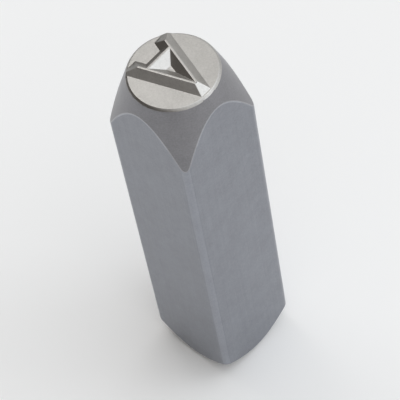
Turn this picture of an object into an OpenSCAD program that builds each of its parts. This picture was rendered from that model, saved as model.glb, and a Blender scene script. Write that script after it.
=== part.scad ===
// A hand stamp for marking metal: a square steel bar with a turned conical nose.
// Its round face carries one raised character, cut as a mirror image.
// It stands on its struck end, face up, with +Z along the bar.
// The top of the character points to -Y and its feet to +Y.

/* [Shank] */
// Width across the flats of the square shank
shank_w = 14; // [10:0.5:20]
// Overall length, from the struck end to the crest of the character
length = 65; // [45:1:100]
// Radius of the four long edges of the shank
edge_r = 1; // [0.3:0.1:1.5]

/* [Struck end] */
// Diameter of the flat that the hammer hits
strike_d = 12; // [8:0.5:13]
// Angle of the turned bevel behind that flat, from the end plane
strike_angle = 45; // [30:1:60]

/* [Nose] */
// Diameter of the round face
face_d = 12.2; // [10:0.1:13.5]
// Angle between the nose cone and the axis of the bar
nose_angle = 20; // [18:0.5:35]
// Width of the broken edge round the face
rim_break = 0.2; // [0.1:0.05:0.5]

/* [Character] */
// Height of the character, along its crests
char_h = 8; // [5:0.1:9]
// Offset of the character's middle from the middle of the face, towards its feet
char_y = -0.4; // [-1:0.05:1]
// Spread of the two legs at their feet, crest to crest
char_w = 5.3; // [3:0.1:7]
// Distance from the feet to the crest of the crossbar
bar_h = 1.2; // [0.8:0.05:2.5]
// How far the character stands above the face
relief = 0.85; // [0.4:0.05:1.2]
// Width of the narrow flat along every crest
crest_w = 0.25; // [0.1:0.05:0.5]
// Run of the sloping flanks on both sides of the legs
leg_run = 1.1; // [0.6:0.05:1.4]
// Run of the crossbar's flank towards the feet
bar_run_foot = 0.9; // [0.4:0.05:1.2]
// Run of the crossbar's flank towards the top
bar_run_top = 1.5; // [0.8:0.05:2]
// Run of the slope at the top of the character
top_run = 1.6; // [0.6:0.05:2]
// Run of the slope at each foot
foot_run = 1.3; // [0.6:0.05:2]

/* [Hidden] */
$fn = 96;
steel = [0.60, 0.59, 0.60];
face_z = length - relief;
// Beyond the corners of the bar, so that only cones and flats cut it
outside = shank_w;
// How far the character's flanks run on below the face, inside the metal
sunk = rim_break + 0.2;
leg_angle = atan(char_w / 2 / char_h);
top_y = char_y - char_h / 2;
foot_y = char_y + char_h / 2;
bar_y = foot_y - bar_h;

// The square bar, with its long edges rounded
module bar() {
    flat = shank_w - 2 * edge_r;
    linear_extrude(height = length)
        union() {
            square([shank_w, flat], center = true);
            square([flat, shank_w], center = true);
            for (x = [-1, 1], y = [-1, 1])
                translate([x * flat / 2, y * flat / 2])
                    circle(r = edge_r);
        }
}

// What the lathe leaves: the bevel at the struck end and the cone of the nose
module turned() {
    bevel_z = (outside - strike_d / 2) * tan(strike_angle);
    nose_drop = (outside - face_d / 2) / tan(nose_angle);
    crest_r = face_d / 2 - relief * tan(nose_angle);
    rotate_extrude()
        polygon([
            [0, 0],
            [strike_d / 2, 0],
            [outside, bevel_z],
            [outside, face_z - nose_drop],
            [crest_r, length],
            [0, length]
        ]);
}

// Everything under the face and under the broken edge of its rim
module ground() {
    flat_r = face_d / 2 - rim_break;
    rotate_extrude()
        polygon([
            [0, 0],
            [2 * outside, 0],
            [2 * outside, face_z - (2 * outside - flat_r)],
            [flat_r, face_z],
            [0, face_z]
        ]);
}

// All space on the low x side of a sloping flank
// The flank passes x = edge at the crest and is one run further out at the face
module within(edge, run) {
    slope = run / relief;
    rotate([90, 0, 0])
        linear_extrude(height = 4 * outside, center = true)
            polygon([
                [-2 * outside, -sunk],
                [edge + slope * (relief + sunk), -sunk],
                [edge - slope, relief + 1],
                [-2 * outside, relief + 1]
            ]);
}

// The same space, measured square to the leg on the +X side
module leg_side(edge, run) {
    translate([0, top_y, 0])
        rotate([0, 0, -leg_angle])
            within(edge, run);
}

// The space towards +Y of a flank, and the space towards -Y of one
module below(edge, run) {
    rotate([0, 0, 90])
        within(edge, run);
}

module above(edge, run) {
    rotate([0, 0, -90])
        within(-edge, run);
}

// Between the outer flanks of both legs and the slopes at the top and feet
module outline() {
    intersection() {
        leg_side(crest_w / 2, leg_run);
        mirror([1, 0, 0])
            leg_side(crest_w / 2, leg_run);
        above(top_y, top_run);
        below(foot_y, foot_run);
    }
}

// Between the inner flanks of both legs
module gap() {
    intersection() {
        leg_side(-crest_w / 2, -leg_run);
        mirror([1, 0, 0])
            leg_side(-crest_w / 2, -leg_run);
    }
}

module character() {
    difference() {
        outline();
        intersection() {
            gap();
            below(bar_y - crest_w / 2, -bar_run_top);
        }
        intersection() {
            gap();
            above(bar_y + crest_w / 2, -bar_run_foot);
        }
    }
}

module stamp() {
    color(steel)
        intersection() {
            bar();
            turned();
            union() {
                ground();
                translate([0, 0, face_z])
                    character();
            }
        }
}

stamp();
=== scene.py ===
# %% [markdown]
# # A steel symbol stamp
#
# A symbol stamp is a small hand tool. Its round face carries one raised character, cut as a mirror image, and a
# hammer blow on the other end presses that character into metal. The whole tool is one piece of hardened steel.
#
# This lesson builds it as a toolmaker does: a square bar, a lathe cut at both ends, a ground face, and the character
# left standing on it. Then every edge is rounded a little, and the steel gets its blasted, turned and drawn finishes.
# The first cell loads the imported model, which fixes the size and place of everything.

# %% Load the fixed frame
import math

import bmesh
import bpy
from mathutils import Matrix, Vector


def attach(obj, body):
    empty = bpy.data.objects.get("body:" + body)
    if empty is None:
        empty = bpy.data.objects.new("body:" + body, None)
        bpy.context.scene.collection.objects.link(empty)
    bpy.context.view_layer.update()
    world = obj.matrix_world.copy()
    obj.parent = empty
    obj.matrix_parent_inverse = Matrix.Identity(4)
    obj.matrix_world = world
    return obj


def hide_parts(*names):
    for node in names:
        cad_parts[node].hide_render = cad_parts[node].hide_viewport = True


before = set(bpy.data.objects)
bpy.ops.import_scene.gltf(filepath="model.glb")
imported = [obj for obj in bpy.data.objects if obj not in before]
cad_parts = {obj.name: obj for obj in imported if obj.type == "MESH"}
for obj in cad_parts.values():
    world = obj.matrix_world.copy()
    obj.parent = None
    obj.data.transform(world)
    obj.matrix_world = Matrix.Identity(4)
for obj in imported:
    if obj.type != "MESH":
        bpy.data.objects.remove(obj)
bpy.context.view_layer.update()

# %% [markdown]
# ## The sizes
#
# The tool is modelled in millimetres, because Blender's merge and bevel distances work best on shapes a few units
# across. The last modelling step shrinks the mesh to metres. These are the same values that the solid was made from.

# %% Sizes in millimetres
SHANK = 14.0  # across the flats of the square bar
LENGTH = 65.0  # struck end to the crest of the character
CORNER = 1.0  # radius of the four long edges
STRUCK = 12.0  # diameter of the flat that the hammer hits
BEVEL = math.radians(45)  # slope of the turned bevel behind it
FACE = 12.2  # diameter of the round face
CONE = math.radians(20)  # slope of the nose, from the axis
RIM = 0.2  # broken edge round the face
RELIEF = 0.85  # height of the character above the face
FACE_Z = LENGTH - RELIEF
OUT = SHANK  # a radius beyond the corners of the bar
PAST = 1.0  # a body runs at least this far past an end that another body cuts
print(f"nose: {FACE / SHANK:.2f} of the shank's width at the face, face at z = {FACE_Z} mm")

# %% [markdown]
# ## Three finishes, named first
#
# A hardened stamp shows three kinds of surface: flats that were drawn and blasted, a nose with faint lathe rings, and
# a face that was ground and blasted. The materials are made now, still empty, so that each face of the mesh can say
# which finish it gets. A Boolean keeps these numbers, and later they also tell which edges lie between two finishes.

# %% The three finishes
FINISHES = [bpy.data.materials.new(name) for name in ("drawn_flats", "turned_nose", "blasted_face")]
FLATS, NOSE, TOP = range(3)


def as_mesh(name, bm, finish):
    """Turn the faces of a closed bmesh outwards, give them one finish and return it all as a mesh."""
    bmesh.ops.recalc_face_normals(bm, faces=bm.faces)
    for face in bm.faces:
        face.material_index = finish
    mesh = bpy.data.meshes.new(name)
    bm.to_mesh(mesh)
    bm.free()
    for material in FINISHES:
        mesh.materials.append(material)
    print(f"{name}: {len(mesh.vertices)} vertices, {len(mesh.polygons)} faces")
    return mesh


# %% [markdown]
# ## The square bar
#
# Stamps are cut from square bar with slightly rounded long edges. It could be an extruded outline, but a stretched
# cube with its four upright edges bevelled is shorter. It runs past both ends, so that only the lathe cuts them.

# %% The square bar
bm = bmesh.new()
bmesh.ops.create_cube(bm, size=1.0)
bmesh.ops.scale(bm, vec=(SHANK, SHANK, LENGTH + 4 * PAST), verts=bm.verts)
bmesh.ops.translate(bm, vec=(0, 0, LENGTH / 2), verts=bm.verts)
upright = [e for e in bm.edges if abs(e.verts[0].co.z - e.verts[1].co.z) > LENGTH]
bmesh.ops.bevel(bm, geom=upright, offset=CORNER, offset_type="OFFSET", affect="EDGES", segments=6, profile=0.5,
                material=-1)
bar = as_mesh("square_bar", bm, FLATS)

# %% [markdown]
# ## The lathe cuts
#
# On the real tool the bar spins in a lathe, and a cutter makes the cone of the nose and the bevel at the struck end.
# Where that cone meets a flat, the cut ends in a curved line, which is the scalloped shape of every such stamp.
# A profile spun round the axis is the same operation. What both the bar and the spun blank cover is the cut bar, and
# nobody has to work out the curved lines.

# %% The turned blank
def turned(name, profile, finish, steps=192):
    """Spin a profile of (radius, height) points round Z and close both ends."""
    bm = bmesh.new()
    points = [bm.verts.new((radius, 0, height)) for radius, height in profile]
    lines = [bm.edges.new(pair) for pair in zip(points, points[1:])]
    bmesh.ops.spin(bm, geom=points + lines, cent=(0, 0, 0), axis=(0, 0, 1), dvec=(0, 0, 0), angle=math.tau,
                   steps=steps, use_merge=True, use_duplicate=False)
    bmesh.ops.remove_doubles(bm, verts=bm.verts, dist=1e-4)
    bmesh.ops.holes_fill(bm, edges=[e for e in bm.edges if e.is_boundary], sides=0)
    return as_mesh(name, bm, finish)


blank = turned("turned_blank", [
    (STRUCK / 2, 0),
    (OUT, (OUT - STRUCK / 2) * math.tan(BEVEL)),
    (OUT, FACE_Z - (OUT - FACE / 2) / math.tan(CONE)),
    (FACE / 2 - (RELIEF + PAST) * math.tan(CONE), LENGTH + PAST),
], NOSE)

# %% [markdown]
# ## The ground face
#
# Round the character the metal is taken down to a flat face, and the face's rim is broken at 45 degrees so that it
# doesn't mark the work. Another spun body gives both. It is cut together with the blank, so its sides run far out.

# %% The ground face and its rim
flat_radius = FACE / 2 - RIM
ground = turned("ground_face", [
    (2 * OUT, -2 * PAST),
    (2 * OUT, FACE_Z - (2 * OUT - flat_radius)),
    (flat_radius, FACE_Z),
], TOP)

# %% [markdown]
# ## The character
#
# The raised character is a block whose flanks all slope outwards, so that it is strong and leaves a clean mark. Its
# top is only a narrow flat along each stroke. A toolmaker cuts every flank with one straight pass of a cutter, and
# `bisect_plane` does the same here: each cut names a point on the crest, the way the flank faces, and how far it
# runs out by the time it reaches the face.
#
# The sharp end of the character points to -Y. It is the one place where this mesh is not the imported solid: as in the
# photograph, it stops a little before the point where the crests of the two legs would meet.

# %% Sizes of the character
HEIGHT, MIDDLE = 8.0, -0.4  # how far the legs reach along y, and the y of their middle
TOP_Y, FOOT_Y = MIDDLE - HEIGHT / 2, MIDDLE + HEIGHT / 2  # where the legs would meet, and the crest line of the feet
SHORT = 0.3  # how far before that meeting point the sharp end stops
SPREAD = 5.3  # the feet, crest to crest
BAR_Y = FOOT_Y - 1.2  # crest of the crossbar
CREST = 0.25  # width of the narrow flat along every crest
LEG_RUN, TOP_RUN, FOOT_RUN = 1.1, 1.6, 1.3  # how far the outer slopes run out
BAR_RUN_TOP, BAR_RUN_FOOT = 1.5, 0.9  # and the two slopes of the crossbar
ROOT_Z = FACE_Z - RIM - 0.2  # the flanks run on down to here, inside the metal
leg_angle = math.atan(SPREAD / 2 / (TOP_Y - FOOT_Y))
print(f"each leg leans {abs(math.degrees(leg_angle)):.1f} degrees from the middle line")


# %% One cut with a sloping cutter
def block(top):
    """A block over the whole face, from inside the metal up to this height."""
    bm = bmesh.new()
    bmesh.ops.create_cube(bm, size=2 * OUT)
    bmesh.ops.translate(bm, vec=(0, 0, top - OUT), verts=bm.verts)
    flank(bm, (0, 0, ROOT_Z), (0, 0, -1))
    return bm


def flank(bm, point, facing):
    """Cut away all that lies on the side that the flank faces, and close the cut."""
    everything = bm.verts[:] + bm.edges[:] + bm.faces[:]
    cut = bmesh.ops.bisect_plane(bm, geom=everything, plane_co=point, plane_no=facing, clear_outer=True)
    bmesh.ops.contextual_create(bm, geom=[g for g in cut["geom_cut"] if isinstance(g, bmesh.types.BMEdge)])


def slope(x, y, run):
    """The way that a flank faces: sideways along x, y, and up by its run over the relief."""
    return Vector((x, y, run / RELIEF)).normalized()


def leg(bm, side, offset, run):
    """A flank along the leg on one side: offset from the leg's middle line, facing away from the other leg."""
    away = Vector((side * math.cos(leg_angle), math.sin(leg_angle), 0))
    flank(bm, Vector((0, TOP_Y, LENGTH)) + away * offset, slope(away.x, away.y, run))


# %% [markdown]
# The outline of both legs is one convex block, and so are the two hollows in it: the closed one between the legs and
# the crossbar, and the open one between the feet. A hollow's walls lean the other way, so its run is negative.

# %% The outline and its two hollows
bm = block(LENGTH)
for side in (-1, 1):
    leg(bm, side, CREST / 2, LEG_RUN)
flank(bm, (0, TOP_Y + SHORT, LENGTH), slope(0, -1, TOP_RUN))
flank(bm, (0, FOOT_Y, LENGTH), slope(0, 1, FOOT_RUN))
outline = as_mesh("character_outline", bm, TOP)


def hollow(name, edge_y, facing, run):
    """The space between the inner flanks of both legs, up to one flank of the crossbar."""
    bm = block(LENGTH + PAST)
    for side in (-1, 1):
        leg(bm, side, -CREST / 2, -LEG_RUN)
    flank(bm, (0, edge_y, LENGTH), slope(0, facing, -run))
    return as_mesh(name, bm, TOP)


closed_hollow = hollow("closed_hollow", BAR_Y - CREST / 2, 1, BAR_RUN_TOP)
open_hollow = hollow("open_hollow", BAR_Y + CREST / 2, -1, BAR_RUN_FOOT)

# %% [markdown]
# ## One solid
#
# Now the bodies are combined in the order of the work: the hollows leave the character, the character stands on the
# ground face, and the turned blank and the square bar limit everything. The Exact solver keeps flat sides as single
# large faces, and the curved line between cone and flat comes out as a clean row of points.

# %% Combine the bodies
def combine(first, second, operation):
    """Apply one Exact Boolean to two closed meshes and return the new mesh."""
    scene = bpy.context.scene.collection
    made, tool = (bpy.data.objects.new(mesh.name, mesh) for mesh in (first, second))
    scene.objects.link(made)
    scene.objects.link(tool)
    step = made.modifiers.new("boolean", "BOOLEAN")
    step.solver, step.operation, step.object = "EXACT", operation, tool
    result = bpy.data.meshes.new_from_object(made.evaluated_get(bpy.context.evaluated_depsgraph_get()))
    bpy.data.objects.remove(made)
    bpy.data.objects.remove(tool)
    print(f"{first.name} {operation.lower()} {second.name}: {len(result.polygons)} faces")
    result.name = first.name
    return result


cut_bar = combine(blank, bar, "INTERSECT")
character = combine(combine(outline, closed_hollow, "DIFFERENCE"), open_hollow, "DIFFERENCE")
top = combine(ground, character, "UNION")
solid = combine(cut_bar, top, "INTERSECT")

# %% [markdown]
# ## Small round edges
#
# No real edge is knife sharp. Tumbling and blasting round the scallops by about a tenth of a millimetre and the face
# by half of that, and there the light catches: the thin bright line along the scallops, the rim and the crests. The
# scallops and the bevel are found as the lines between two finishes. Everywhere else but on the flats, an edge is any
# line where the surface turns enough. The new narrow faces are also marked to be painted lighter: partly the polish of
# handling, partly a painted highlight for that bright line. An inner corner gets its small radius too, but nothing
# can polish it, so it gets no lightening.

# %% Round the edges
NEAR = 0.04  # points closer than this become one, so that no edge is too short to round
SCALLOP_RADIUS, FINE_RADIUS = 0.12, 0.05
SCALLOP_TURN, FINE_TURN = 15, 20  # an edge is rounded if the surface turns by more degrees than this
# How much each kind of rounded edge is painted lighter: partly rubbing by handling, partly a painted highlight.
SCALLOP_WEAR_AND_HIGHLIGHT, FINE_WEAR_AND_HIGHLIGHT, CORNER_WEAR_AND_HIGHLIGHT = 1.0, 0.25, 0.35  # how bright handling has rubbed each kind of edge


def turn(edge):
    """How far the surface turns across an edge, in degrees."""
    return math.degrees(edge.calc_face_angle(0.0))


def finishes(edge):
    """The finishes on both sides of an edge."""
    return {face.material_index for face in edge.link_faces}


bm = bmesh.new()
bm.from_mesh(solid)
bmesh.ops.remove_doubles(bm, verts=bm.verts, dist=NEAR)
bmesh.ops.dissolve_degenerate(bm, dist=NEAR, edges=bm.edges)
print("open edges:", sum(not e.is_manifold for e in bm.edges))
worn = bm.faces.layers.float.new("worn")


def round_over(edges, offset, wear_and_highlight):
    """Bevel some edges and mark the new narrow faces for wear and painted highlight, except in an inner corner."""
    done = bmesh.ops.bevel(bm, geom=edges, offset=offset, offset_type="OFFSET", affect="EDGES", segments=2,
                           profile=0.5, material=-1, clamp_overlap=False)
    bm.normal_update()
    for face in done["faces"]:
        inner = sum(not e.is_convex for e in face.edges) > 1
        face[worn] = 0.0 if inner else wear_and_highlight
    print(f"rounded {len(edges)} edges by {offset} mm: {len(done['faces'])} narrow faces")


scallops = [e for e in bm.edges if turn(e) > SCALLOP_TURN and finishes(e) == {FLATS, NOSE}]
round_over(scallops, SCALLOP_RADIUS, SCALLOP_WEAR_AND_HIGHLIGHT)
fine = [e for e in bm.edges if turn(e) > FINE_TURN and finishes(e) - {FLATS} and not any(f[worn] for f in e.link_faces)]
round_over(fine, FINE_RADIUS, FINE_WEAR_AND_HIGHLIGHT)

# %% [markdown]
# The long edges were rounded with the bar. Their faces are painted lighter too: partly the polish of handling, partly a
# painted highlight along the edge. Their faces are found as those that look along x and along y at the same time.

# %% Wear and painted highlight along the long edges
BETWEEN = 0.15  # a face of a long edge looks more than this along x and along y

corners = [f for f in bm.faces if f.material_index == FLATS and min(abs(f.normal.x), abs(f.normal.y)) > BETWEEN]
for face in corners:
    face[worn] = CORNER_WEAR_AND_HIGHLIGHT
print(f"{len(corners)} faces along the long edges are worn too")

# %% [markdown]
# ## To metres, and smooth where it should be
#
# The mesh is shrunk to metres in place, so that the object stays at the origin, unturned and unscaled. Smooth shading
# alone would smear light over the big flats. The Weighted Normal modifier lets each large face keep its own direction,
# and only the narrow rounded faces blend from one to the next. It is applied, so the finished mesh carries the result.

# %% The finished stamp
MM = 0.001  # one millimetre in metres

bmesh.ops.scale(bm, vec=(MM, MM, MM), verts=bm.verts)
for face in bm.faces:
    face.smooth = True
shaped_mesh = bpy.data.meshes.new("shaped")
bm.to_mesh(shaped_mesh)
bm.free()
for material in FINISHES:
    shaped_mesh.materials.append(material)
shaped = bpy.data.objects.new("shaped", shaped_mesh)
bpy.context.scene.collection.objects.link(shaped)
normals = shaped.modifiers.new("normals", "WEIGHTED_NORMAL")
normals.mode, normals.weight, normals.keep_sharp = "FACE_AREA", 50, False
stamp_mesh = bpy.data.meshes.new_from_object(shaped.evaluated_get(bpy.context.evaluated_depsgraph_get()))
stamp_mesh.name = "symbol_stamp"
bpy.data.objects.remove(shaped)

stamp = bpy.data.objects.new("symbol_stamp", stamp_mesh)
bpy.context.scene.collection.objects.link(stamp)
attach(stamp, "root")
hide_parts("stamp")
print(f"symbol_stamp: {len(stamp_mesh.vertices)} vertices, {len(stamp_mesh.polygons)} faces")

# %% [markdown]
# ## Shader sums as Python
#
# A finish is a few patterns added and multiplied. In the node editor that is a row of Math nodes. Here a small class
# wraps one socket, so that `grain * 0.4 + cloud` adds those Math nodes by itself. One more method adds any other node:
# first its settings, then the values or links of its sockets.

# %% A socket that can be added and multiplied
class Signal:
    """One output socket in a node tree."""

    def __init__(self, tree, socket=None):
        self.tree, self.socket = tree, socket

    def node(self, kind, settings=(), out=0, **inputs):
        """Add a node of any kind. Input names use _ for a space, and iN is input number N."""
        made = self.tree.nodes.new(kind)
        for key, value in dict(settings).items():
            if key == "stops":
                for _ in value[2:]:
                    made.color_ramp.elements.new(1.0)
                for stop, (place, colour) in zip(made.color_ramp.elements, value):
                    stop.position, stop.color = place, colour
            else:
                setattr(made, key, value)
        for key, value in inputs.items():
            socket = made.inputs[int(key[1:]) if key[1:].isdigit() else key.replace("_", " ")]
            if isinstance(value, Signal):
                self.tree.links.new(value.socket, socket)
            else:
                socket.default_value = value
        return Signal(self.tree, made.outputs[out] if made.outputs else None)

    def maths(self, operation, a, b=0.0, clamp=False):
        """Add one Math node."""
        return self.node("ShaderNodeMath", {"operation": operation, "use_clamp": clamp}, i0=a, i1=b)

    def __add__(self, other):
        return self.maths("ADD", self, other)

    def __sub__(self, other):
        return self.maths("SUBTRACT", self, other)

    def __rsub__(self, other):
        return self.maths("SUBTRACT", other, self)

    def __mul__(self, other):
        return self.maths("MULTIPLY", self, other)

    __radd__, __rmul__ = __add__, __mul__

    def clamped(self):
        """Keep the value between 0 and 1."""
        return self.maths("ADD", self, 0.0, clamp=True)


# %% [markdown]
# ## The steel
#
# All three finishes share one recipe, because the tool is one piece of steel that was blasted all over after
# hardening. Blasting leaves a fine even grain. Under it each surface keeps a trace of how it was cut: lines along the
# bar on the flats, rings round the axis on the nose, and nothing on the face. Handling adds soft clouds in the tone
# and a few bright nicks. The rounded edges are painted lighter: partly polish from handling, partly a painted
# highlight. Every pattern is measured in millimetres on Object coordinates, so it sits still on the metal.
#
# A noise runs from 0 to 1. With 0.5 taken off it lies evenly round 0, and its factor says how much of the tone it may
# add or take away.

# %% The shared recipe
RING_PITCH = 0.34  # millimetres from one lathe ring to the next
BUMP_HEIGHT = 0.02 * MM
LINE_SCALE = (1 / MM, 1 / MM, 14)  # coarse along the bar, so that each line is long


def steel(material, colour, trace, rough):
    """Blasted steel with a trace of its cutting: "lines", "rings" or None."""
    material.use_nodes = True
    tree = material.node_tree
    tree.nodes.clear()
    make = Signal(tree)
    place = make.node("ShaderNodeTexCoord", out="Object")
    mm = make.node("ShaderNodeMapping", Vector=place, Scale=(1 / MM, 1 / MM, 1 / MM))

    def noise(vector, scale, detail=3.0, roughness=0.55):
        return make.node("ShaderNodeTexNoise", out="Fac", Vector=vector, Scale=scale, Detail=detail,
                         Roughness=roughness)

    grain = noise(mm, 4.5, 4.0, 0.7)
    cloud = noise(mm, 0.16, 4.0, 0.6)
    patch = noise(mm, 0.55, 3.0, 0.6)
    nick = make.node("ShaderNodeMapRange", {"clamp": True}, Value=noise(mm, 1.3, 2.0), From_Min=0.70, From_Max=0.76)
    # The edge value is the painted lightening of the rounded edges: partly wear, partly a painted highlight.
    edge = make.node("ShaderNodeAttribute", {"attribute_name": "worn"}, out="Fac")

    height = grain * 0.9 + noise(mm, 1.6, 3.0) * 0.5
    tone = (cloud - 0.5) * 0.34 + (patch - 0.5) * 0.20 + (grain - 0.5) * 0.55
    if trace == "lines":
        drawn = noise(make.node("ShaderNodeMapping", Vector=place, Scale=LINE_SCALE), 3.5, 3.0)
        height = height + drawn * 0.6
        tone = tone + (drawn - 0.5) * 0.15
    elif trace == "rings":
        level = make.node("ShaderNodeSeparateXYZ", out="Z", Vector=mm)
        rings = make.maths("SINE", level * (math.tau / RING_PITCH) + cloud * 5.0)
        height = height + rings * 0.12
        tone = tone + rings * 0.012

    # The brightness factor: random tone, bright nicks, and the wear and painted highlight on the rounded edges.
    light = make.maths("ADD", tone + 1.0, nick * 0.05 + edge * 0.42)
    base = make.node("ShaderNodeVectorMath", {"operation": "SCALE"}, Vector=colour, Scale=light)
    shine = (rough + (cloud - 0.5) * 0.16 + (grain - 0.5) * 0.12 - edge * 0.06).clamped()
    bump = make.node("ShaderNodeBump", Height=height, Strength=0.55, Distance=BUMP_HEIGHT)
    shader = make.node("ShaderNodeBsdfPrincipled", Base_Color=base, Metallic=1.0, Roughness=shine, Normal=bump)
    make.node("ShaderNodeOutputMaterial", Surface=shader)
    print(f"{material.name}: {len(tree.nodes)} nodes")


# %% Give each surface its finish
# The flats' colour is bluer than the nose's: a painted reflection of blue surroundings.
steel(FINISHES[FLATS], colour=(0.28, 0.29, 0.32), trace="lines", rough=0.42)
steel(FINISHES[NOSE], colour=(0.265, 0.262, 0.275), trace="rings", rough=0.38)
steel(FINISHES[TOP], colour=(0.43, 0.42, 0.405), trace=None, rough=0.36)

# %% [markdown]
# ## Floor, light and camera
#
# The floor is a plain pale sheet. The light is a soft studio: a sky that is brightest high at the front right and dim
# on the other side, one broad lamp from behind and above, and a narrow one in the brightest part of the sky. Steel has
# no colour of its own under light. It shows what it mirrors, so the face takes the bright sky, the upright flats take
# the floor, the slope at the sharp end of the character takes the narrow lamp, and the slopes that look left take the
# dim side.

# %% The floor
FLOOR_REACH = 2.0  # metres from the middle to each side, far beyond the picture

bm = bmesh.new()
bmesh.ops.create_grid(bm, x_segments=1, y_segments=1, size=FLOOR_REACH)
floor_mesh = bpy.data.meshes.new("floor")
bm.to_mesh(floor_mesh)
bm.free()
floor = bpy.data.objects.new("floor", floor_mesh)
bpy.context.scene.collection.objects.link(floor)
paint = bpy.data.materials.new("pale_floor")
paint.use_nodes = True
coat = paint.node_tree.nodes["Principled BSDF"].inputs
coat["Base Color"].default_value = (0.92, 0.92, 0.92, 1)
coat["Roughness"].default_value = 0.7
coat["Specular IOR Level"].default_value = 0.2
floor_mesh.materials.append(paint)

# %% The sky
BRIGHT = (0.45, -0.45, 0.77)  # the way to the brightest part of the sky
STOPS = [  # colours from the side away from it, at 0, to the brightest part, at 1
    (0.40, (0.085, 0.074, 0.064, 1)),
    (0.60, (0.22, 0.205, 0.195, 1)),
    (0.77, (0.92, 0.91, 0.89, 1)),
    (1.0, (1.4, 1.45, 1.5, 1)),
]
world = bpy.data.worlds.new("studio")
bpy.context.scene.world = world
world.use_nodes = True
world.node_tree.nodes.clear()
sky = Signal(world.node_tree)
direction = sky.node("ShaderNodeTexCoord", out="Generated")
nearness = sky.node("ShaderNodeVectorMath", {"operation": "DOT_PRODUCT"}, out="Value", i0=direction, i1=BRIGHT)
glow = sky.node("ShaderNodeValToRGB", {"stops": STOPS}, Fac=nearness * 0.5 + 0.5)
sky.node("ShaderNodeOutputWorld", Surface=sky.node("ShaderNodeBackground", Color=glow, Strength=1.0))

# %% The lamps
HEAD = Vector((0, 0, MM * FACE_Z))  # the middle of the face, in metres


def lamp(name, towards, distance, size, brightness, colour):
    """A square soft lamp in the given direction from the stamp's head, turned to face it."""
    data = bpy.data.lights.new(name, "AREA")
    data.size, data.color = size, colour
    data.energy = brightness * math.pi * size * size
    made = bpy.data.objects.new(name, data)
    made.matrix_world = Matrix.Translation(HEAD + towards.normalized() * distance) @ (
        towards.to_track_quat("Z", "Y").to_matrix().to_4x4())
    bpy.context.scene.collection.objects.link(made)


lamp("broad", Vector((0.06, 0.55, 0.83)), distance=0.4, size=0.18, brightness=2.1, colour=(1.0, 0.98, 0.95))
lamp("narrow", Vector(BRIGHT), distance=0.7, size=0.20, brightness=2.2, colour=(0.93, 0.97, 1.0))

# %% [markdown]
# The camera looks down on the stamp from the front left, from about twenty shank widths away, as the photograph does,
# and it is turned a little about its own axis, so that the stamp leans to the left in the picture.

# %% The camera
DISTANCE = 0.28  # metres from the stamp's head
AIM = Vector((0, 0, 0.0338))  # the point in the middle of the picture, half way up the stamp
SENSOR, FOCAL_LENGTH = 36, 198  # millimetres

azimuth, elevation, lean = math.radians(-38.5), math.radians(53), math.radians(11.8)
back = Vector((math.sin(azimuth) * math.cos(elevation), -math.cos(azimuth) * math.cos(elevation), math.sin(elevation)))
eye = HEAD + back * DISTANCE
axis = (eye - AIM).normalized()
right = Vector((0, 0, 1)).cross(axis).normalized()
above = axis.cross(right)
right, above = (math.cos(lean) * right - math.sin(lean) * above, math.sin(lean) * right + math.cos(lean) * above)
lens = bpy.data.cameras.new("camera")
lens.sensor_width = lens.sensor_height = SENSOR
lens.lens, lens.clip_start = FOCAL_LENGTH, 0.01
camera = bpy.data.objects.new("camera", lens)
camera.matrix_world = Matrix.Translation(eye) @ Matrix((right, above, axis)).transposed().to_4x4()
bpy.context.scene.collection.objects.link(camera)
bpy.context.scene.camera = camera
bpy.context.scene.view_settings.view_transform = "Standard"
print(f"camera: {DISTANCE / (SHANK * MM):.0f} shank widths from the stamp's head")
